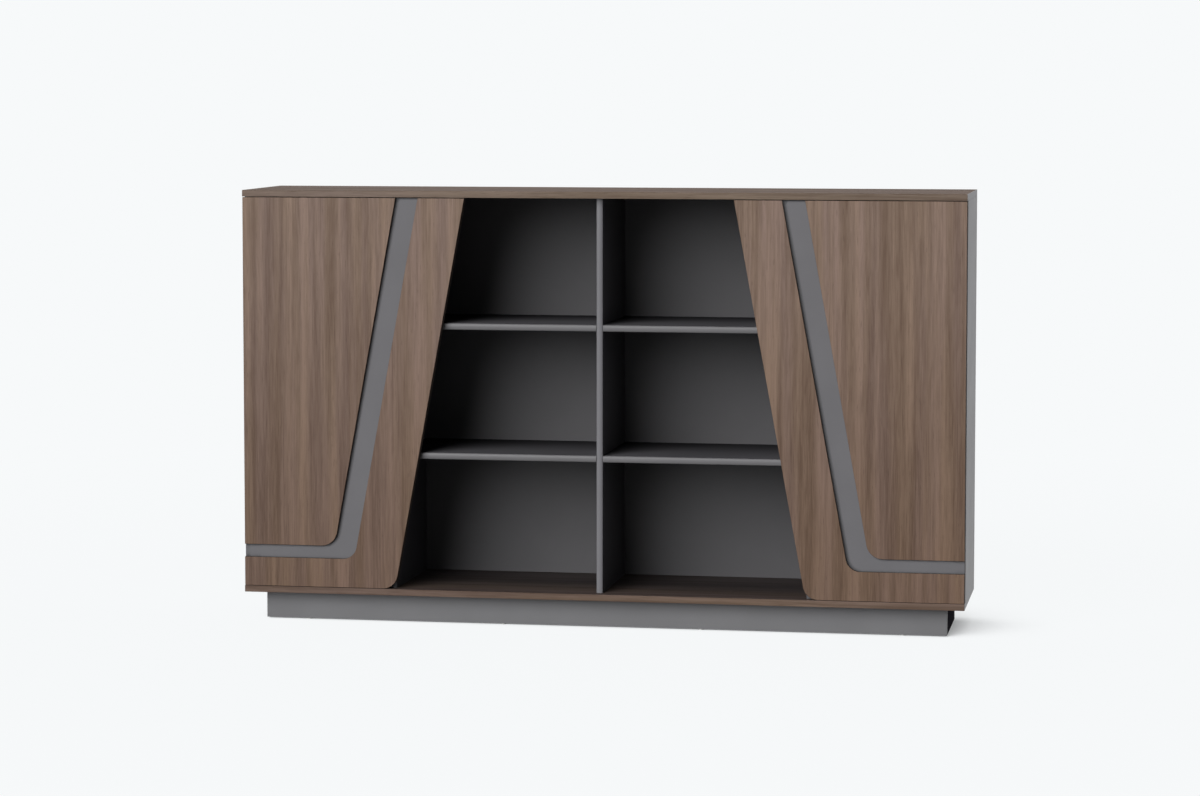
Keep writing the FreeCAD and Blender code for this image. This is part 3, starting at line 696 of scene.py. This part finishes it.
def free_edge(height):
    """Distance of a door's free edge from the middle of the credenza at a height: it grows evenly
    from the top of the door to its foot."""
    fall = (DOOR_TOP - height) / (DOOR_TOP - DOOR_FOOT)
    return FREE_EDGE_AT_TOP + (FREE_EDGE_AT_FOOT - FREE_EDGE_AT_TOP) * fall


def door_paths():
    """Corners and radii of the edges of a right-hand door's boards, in distance from the middle
    and height, with each board on the left of its path and the ends of the path in its middle."""
    main_offset = SURROUND_WIDTH + CHANNEL_WIDTH
    base = [
        (free_edge(DOOR_TOP), DOOR_TOP),
        (free_edge(DOOR_FOOT), DOOR_FOOT),
        (DOOR_OUTER, DOOR_FOOT),
        (DOOR_OUTER, DOOR_TOP),
    ]
    surround = [
        *base[:3],
        (DOOR_OUTER, SURROUND_BAND_TOP),
        (free_edge(SURROUND_BAND_TOP) + SURROUND_WIDTH, SURROUND_BAND_TOP),
        (free_edge(DOOR_TOP) + SURROUND_WIDTH, DOOR_TOP),
    ]
    main = [
        (free_edge(DOOR_TOP) + main_offset, DOOR_TOP),
        (free_edge(MAIN_FOOT) + main_offset, MAIN_FOOT),
        (DOOR_OUTER, MAIN_FOOT),
        (DOOR_OUTER, DOOR_TOP),
    ]
    surround_radii = [0, FREE_CORNER_RADIUS, 0, 0, SURROUND_CORNER_RADIUS, 0]
    return {
        "base": (closed_at_middle(base), [0, FREE_CORNER_RADIUS, 0, 0]),
        "surround": (closed_at_middle(surround), surround_radii),
        "main": (closed_at_middle(main), [0, MAIN_CORNER_RADIUS, 0, 0]),
    }


def closed_at_middle(corners):
    """A path round all corners that starts and ends in the middle of its last run."""
    seam = tuple((np.array(corners[0]) + np.array(corners[-1])) / 2)
    return [seam, *corners, seam]


class CREDENZA_OT_board_finishes(bpy.types.Operator):
    """Gives every board its laminate"""

    bl_idname = "credenza.board_finishes"
    bl_label = "Finish the boards"

    def execute(self, context):
        colours = context.scene.credenza_colours
        for panel in both_sides("main_panel", "surround_panel"):
            give(upright_walnut(colours, f"walnut_{panel}", GRAIN_SHIFTS[panel]), panel)
        for panel, tints in LEVEL_LIGHT_TINTS.items():
            give(level_walnut(colours, f"walnut_{panel}", GRAIN_SHIFTS[panel], tints), panel)
        base = laminate("grey_laminate", colours.grey, channelled=True)
        give(base, *both_sides("door_base"))
        side = laminate("side_laminate", colours.side, roughness=SIDE_MATT, gloss=SIDE_GLOSS)
        give(side, *both_sides("side_panel"))
        # The darker grey of the divider and partitions is painted shade.
        upright = laminate("upright_laminate", colours.upright, gloss=0.1)
        give(upright, "centre_divider", *both_sides("partition"))
        # The shelves' shares paint shade at the rear and light at the front.
        shelf = laminate(
            "shelf_laminate", colours.shelf, roughness=0.6, gloss=0, shade_rear_to_front=(0.36, 1.6)
        )
        give(shelf, *both_sides("bay_lower_shelf", "bay_upper_shelf"))
        give(shelf, *both_sides("cupboard_lower_shelf", "cupboard_upper_shelf"))
        back = laminate("back_laminate", colours.back, roughness=0.6)
        give(back, *both_sides("cupboard_back", "bay_back"))
        plinth = laminate("plinth_laminate", colours.plinth, shift=(0.5, 0.2, 0.9))
        give(plinth, "plinth_front_rail", "plinth_back_rail")
        give(plinth, *(f"plinth_{part}_brace" for part in ("left", "centre", "right")))
        # The end rails' dark, glossless laminate is painted shade.
        shaded_plinth_end = laminate(
            "shaded_plinth_end_laminate",
            colours.shaded_plinth_end,
            shift=(0.2, 0.7, 0.1),
            roughness=0.65,
            gloss=0,
        )
        give(shaded_plinth_end, "plinth_left_rail", "plinth_right_rail")
        return {"FINISHED"}


class CREDENZA_OT_fitting_finishes(bpy.types.Operator):
    """Gives the dowels, fittings, hinges, glides and bumpers their finishes"""

    bl_idname = "credenza.fitting_finishes"
    bl_label = "Finish the fittings"

    def execute(self, context):
        colours = context.scene.credenza_colours
        give(beech("turned_beech", colours.beech), "dowels", "shelf_dowels")
        zinc = plated_metal("bright_zinc", colours.zinc, roughness=0.34)
        give(zinc, "cam_bolts", "cam_locks", "plinth_brackets", "plinth_bracket_screws")
        give(zinc, *both_sides("shelf_supports", "facing_screws"))
        nickel = plated_metal("satin_nickel", colours.nickel, roughness=0.26)
        give(nickel, *both_sides("hinge_cups", "hinge_pins", "hinge_arms", "hinge_plates"))
        give(nickel, *both_sides("cup_screws", "hinge_mount_screws"))
        give(moulded("glide_plastic", colours.plastic, roughness=0.5), "floor_glides")
        rubber = moulded("bumper_rubber", colours.rubber, roughness=0.4)
        give(rubber, *both_sides("door_bumpers"))
        return {"FINISHED"}


class CREDENZA_OT_door_edgings(bpy.types.Operator):
    """Runs a dark edging round each board of both doors"""

    bl_idname = "credenza.door_edgings"
    bl_label = "Edge the door boards"

    def execute(self, context):
        material = edging("door_edging", context.scene.credenza_colours.edging)
        for board, (corners, radii) in door_paths().items():
            points, outward = rounded_path(corners, radii)
            backwards = np.tile((0.0, 1.0, 0.0), (len(points), 1))
            front, back, slot = DOOR_BOARDS[board]
            profile = edging_profile(context.scene.credenza_sizes, front, back)
            for side, sign in SIDES:
                path, sideways = standing(points, sign), standing(outward, sign)
                grid = carried(path, sideways, backwards, profile)[:-1]
                name, body = f"{side}_door_{board}_edging", f"{side}_door"
                piece_from_grid(name, grid, material, body, ring=True)
        return {"FINISHED"}


class CREDENZA_OT_edge_bands(bpy.types.Operator):
    """Puts a crowned band on the front edge of each shelf, the divider and the partitions"""

    bl_idname = "credenza.edge_bands"
    bl_label = "Band the shelves and uprights"

    def execute(self, context):
        sizes, colours = context.scene.credenza_sizes, context.scene.credenza_colours
        bands = {
            "shelf_band": (colours.shelf_band, both_sides("bay_lower_shelf", "bay_upper_shelf")),
            "divider_band": (colours.divider_band, ["centre_divider"]),
            # The partitions' band colour is painted shade.
            "shaded_partition_band": (colours.shaded_partition_band, both_sides("partition")),
            "grey_band": (colours.grey, both_sides("cupboard_lower_shelf", "cupboard_upper_shelf")),
        }
        for name, (colour, nodes) in bands.items():
            material = laminate(name, colour, roughness=0.36, mottle=0.03)
            for node in nodes:
                self.band(sizes, node, material)
        return {"FINISHED"}

    def band(self, sizes, node, material):
        """A band along the longer side of a board's front edge."""
        low, high = (np.array(corner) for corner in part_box(node))
        size, middle = high - low, (low + high) / 2
        lengthwise, across = (0, 2) if size[0] > size[2] else (2, 0)
        ends = np.tile(middle, (2, 1))
        ends[:, 1] = low[1]
        trim = sizes.band_margin
        ends[:, lengthwise] = low[lengthwise] + trim, high[lengthwise] - trim
        sideways, forward = np.zeros((2, 3)), np.zeros((2, 3))
        sideways[:, across], forward[:, 1] = 1, -1
        grid = carried(ends, sideways, forward, band_profile(sizes, size[across]))
        piece_from_grid(f"{node}_edge_band", grid, material, "carcass")


class CREDENZA_OT_studio(bpy.types.Operator):
    """Sets up the floor, the backdrop, the lamp and the camera"""

    bl_idname = "credenza.studio"
    bl_label = "Set up the studio"

    def execute(self, context):
        studio = context.scene.credenza_studio
        self.make_floor(context.scene, studio)
        self.make_world(context.scene, studio)
        self.make_lamp(context.scene, studio)
        self.make_camera(context.scene)
        context.scene.view_settings.view_transform = "Standard"
        return {"FINISHED"}

    def make_floor(self, scene, studio):
        """A round floor that melts into the backdrop, with a soft shade round the credenza's foot.

        Where it is looked at, it glows in the backdrop's colour as far as it is open to the
        light, and the rest of it is painted in that colour. The credenza itself is lit by a
        darker floor.
        """
        around = np.linspace(0, 2 * math.pi, FLOOR_SPOKES, endpoint=False)
        reach = (np.linspace(FLOOR_HUB, 1, FLOOR_RINGS) * FLOOR_RADIUS)[:, None]
        level = np.zeros((FLOOR_RINGS, FLOOR_SPOKES))
        grid = np.stack([reach * np.cos(around), reach * np.sin(around), level], axis=-1)
        index = np.arange(FLOOR_RINGS * FLOOR_SPOKES).reshape(FLOOR_RINGS, FLOOR_SPOKES)
        ahead = np.roll(index, -1, axis=1)
        faces = np.stack([index[:-1], index[1:], ahead[1:], ahead[:-1]], axis=-1).reshape(-1, 4)
        mesh = bpy.data.meshes.new("studio_floor")
        mesh.from_pydata(grid.reshape(-1, 3).tolist(), [], [*faces.tolist(), index[0].tolist()])
        floor = bpy.data.objects.new("studio_floor", mesh)
        scene.collection.objects.link(floor)
        mesh.materials.append(self.floor_finish(studio))

    def floor_finish(self, studio):
        """The floor's material. The distance from the middle is the root of the sum of the squares
        of x and y."""
        finish = Finish(bpy.data.materials.new("studio_floor"))
        x, y, _ = finish.place()
        distance = finish.node("ShaderNodeMath", {"operation": "SQRT"}, {0: x * x + y * y})
        side = finish.node("ShaderNodeCombineXYZ", {}, dict(enumerate(CONTACT_SHADE["side"])))
        light = finish.light_share(side, CONTACT_SHADE)
        light = light + (1 - light) * finish.spread(distance, *FLOOR_FADE)
        pale, bounce = opaque(studio.backdrop), opaque((studio.floor_bounce,) * 3)
        painted = finish.node("ShaderNodeBsdfDiffuse", {}, {"Color": pale})
        glow = finish.node("ShaderNodeEmission", {}, {"Color": pale, "Strength": 1})
        seen = finish.node("ShaderNodeMixShader", {}, {0: light, 1: painted, 2: glow})
        unseen = finish.node("ShaderNodeBsdfDiffuse", {}, {"Color": bounce})
        sockets = {0: finish.looked_at(), 1: unseen, 2: seen}
        return finish.close(finish.node("ShaderNodeMixShader", {}, sockets))

    def make_world(self, scene, studio):
        """The backdrop's colour wherever it is looked at. As a light it is stronger from the rear
        than from the front, and smooth between them."""
        scene.world = bpy.data.worlds.new("studio")
        finish = Finish(scene.world)
        towards = finish.node("ShaderNodeTexCoord", output="Generated")
        rearward = finish.node("ShaderNodeSeparateXYZ", {}, {0: towards}, "Y")
        strengths = (studio.front_light, studio.rear_light)
        strength = finish.spread(rearward, *SOFT_LIGHT_RUN, *strengths)
        white, pale = opaque((1, 1, 1)), opaque(studio.backdrop)
        light = finish.node("ShaderNodeBackground", {}, {"Color": white, "Strength": strength})
        seen = finish.node("ShaderNodeBackground", {}, {"Color": pale, "Strength": 1})
        sockets = {0: finish.looked_at(), 1: light, 2: seen}
        finish.close(finish.node("ShaderNodeMixShader", {}, sockets), "ShaderNodeOutputWorld")

    def make_lamp(self, scene, studio):
        """One large far lamp, low in front of the credenza and to its left."""
        data = bpy.data.lights.new("key_lamp", "SUN")
        data.energy = studio.key_strength
        data.angle = studio.key_spread
        lamp = bpy.data.objects.new("key_lamp", data)
        scene.collection.objects.link(lamp)
        lamp.rotation_euler = (math.pi / 2 - studio.key_rise, 0, -studio.key_turn)

    def make_camera(self, scene):
        """A long lens, to the right of the credenza and a little higher, that looks back at it."""
        data = bpy.data.cameras.new("studio_camera")
        data.lens = CAMERA_LENS
        data.sensor_width = CAMERA_SENSOR
        data.shift_y = CAMERA_SHIFT
        camera = bpy.data.objects.new("studio_camera", data)
        scene.collection.objects.link(camera)
        camera.location = CAMERA_PLACE
        camera.rotation_euler = (math.radians(90 - CAMERA_PITCH), 0, math.radians(CAMERA_TURN))
        scene.camera = camera


class CREDENZA_PT_sidebar(bpy.types.Panel):
    """Lists the credenza's steps and settings in the sidebar"""

    bl_idname = "CREDENZA_PT_sidebar"
    bl_label = "Credenza"
    bl_space_type = "VIEW_3D"
    bl_region_type = "UI"
    bl_category = "Credenza"

    def draw(self, context):
        for step in STEPS:
            self.layout.operator(step.bl_idname)
        for group in GROUPS:
            settings = getattr(context.scene, group)
            for name in settings.bl_rna.properties.keys():
                if name not in ("rna_type", "name"):
                    self.layout.prop(settings, name)


GROUPS = {
    "credenza_sizes": CredenzaSizes,
    "credenza_colours": CredenzaColours,
    "credenza_studio": CredenzaStudio,
}
STEPS = (
    CREDENZA_OT_board_finishes,
    CREDENZA_OT_fitting_finishes,
    CREDENZA_OT_door_edgings,
    CREDENZA_OT_edge_bands,
    CREDENZA_OT_studio,
)
CLASSES = (*GROUPS.values(), *STEPS, CREDENZA_PT_sidebar)


def register():
    """Adds the classes, and their settings to the scene."""
    for kind in CLASSES:
        bpy.utils.register_class(kind)
    for name, group in GROUPS.items():
        setattr(bpy.types.Scene, name, PointerProperty(type=group))


def unregister():
    """Takes away what register adds."""
    for name in GROUPS:
        delattr(bpy.types.Scene, name)
    for kind in reversed(CLASSES):
        bpy.utils.unregister_class(kind)


def main():
    """Makes every piece and the studio."""
    register()
    bpy.ops.credenza.board_finishes()
    bpy.ops.credenza.fitting_finishes()
    bpy.ops.credenza.door_edgings()
    bpy.ops.credenza.edge_bands()
    bpy.ops.credenza.studio()
    bpy.context.view_layer.update()


if __name__ == "__main__":
    main()
